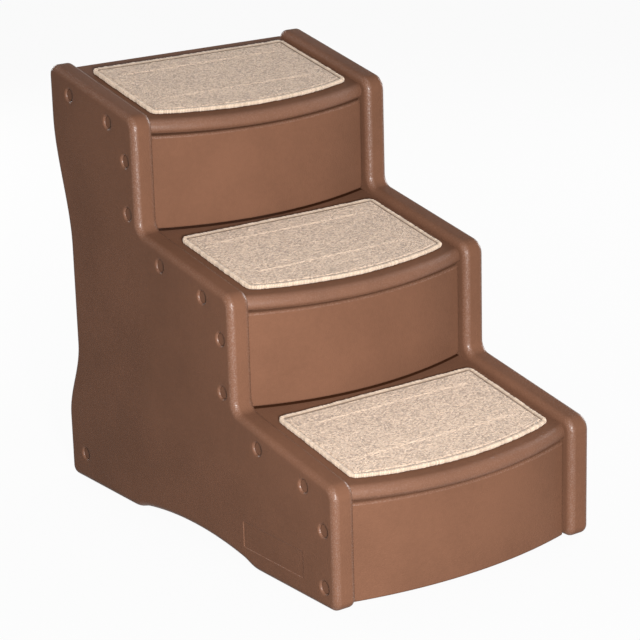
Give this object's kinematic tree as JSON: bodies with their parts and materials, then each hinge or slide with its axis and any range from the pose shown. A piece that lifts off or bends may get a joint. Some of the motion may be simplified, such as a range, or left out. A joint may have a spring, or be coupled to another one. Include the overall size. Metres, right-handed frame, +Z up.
{
  "type": "pet stairs",
  "caption": "Moulded plastic pet stairs: stepped hollow side panels, bowed treads with bullnoses, bowed risers and carpet mats that lift off.",
  "frame": {"origin": "on the floor, at the centre of the footprint", "axes": "+X to the right of someone facing the front, +Y from the front to the back, +Z up"},
  "size_m": [0.406, 0.6443, 0.5833],
  "materials": {
    "moulding": "fine pebble texture, satin sheen",
    "pins": "smooth satin",
    "carpet": "beige loop pile",
    "yarn": "overlocked yarn",
    "backing": "matt latex",
    "loop": "brushed nylon",
    "hook": "nylon hooks",
    "rubber": "matt"
  },
  "bodies": {
    "stairs": {"side_panel_left": "moulding", "side_panel_right": "moulding", "tread_top": "moulding", "tread_middle": "moulding", "tread_bottom": "moulding", "riser_top": "moulding", "riser_middle": "moulding", "riser_bottom": "moulding", "hook_strips_top": "hook", "hook_strips_middle": "hook", "hook_strips_bottom": "hook", "rear_brace": "moulding", "tread_pins_left": "pins", "tread_pins_right": "pins", "riser_pins_left": "pins", "riser_pins_right": "pins", "brace_pins": "pins", "floor_grips_left": "rubber", "floor_grips_right": "rubber"},
    "mat_top": {"mat_pile_top": "carpet", "mat_binding_top": "yarn", "mat_backing_top": "backing", "mat_loop_strips_top": "loop"},
    "mat_middle": {"mat_pile_middle": "carpet", "mat_binding_middle": "yarn", "mat_backing_middle": "backing", "mat_loop_strips_middle": "loop"},
    "mat_bottom": {"mat_pile_bottom": "carpet", "mat_binding_bottom": "yarn", "mat_backing_bottom": "backing", "mat_loop_strips_bottom": "loop"}
  },
  "joints": [
    {"name": "mat_top_lift", "type": "slide", "parent": "stairs", "child": "mat_top", "axis": [0, -0.2164, 0.9763], "range_m": [0, 0.25]},
    {"name": "mat_middle_lift", "type": "slide", "parent": "stairs", "child": "mat_middle", "axis": [0, -0.2011, 0.9796], "range_m": [0, 0.25]},
    {"name": "mat_bottom_lift", "type": "slide", "parent": "stairs", "child": "mat_bottom", "axis": [0, -0.2011, 0.9796], "range_m": [0, 0.25]}
  ]
}
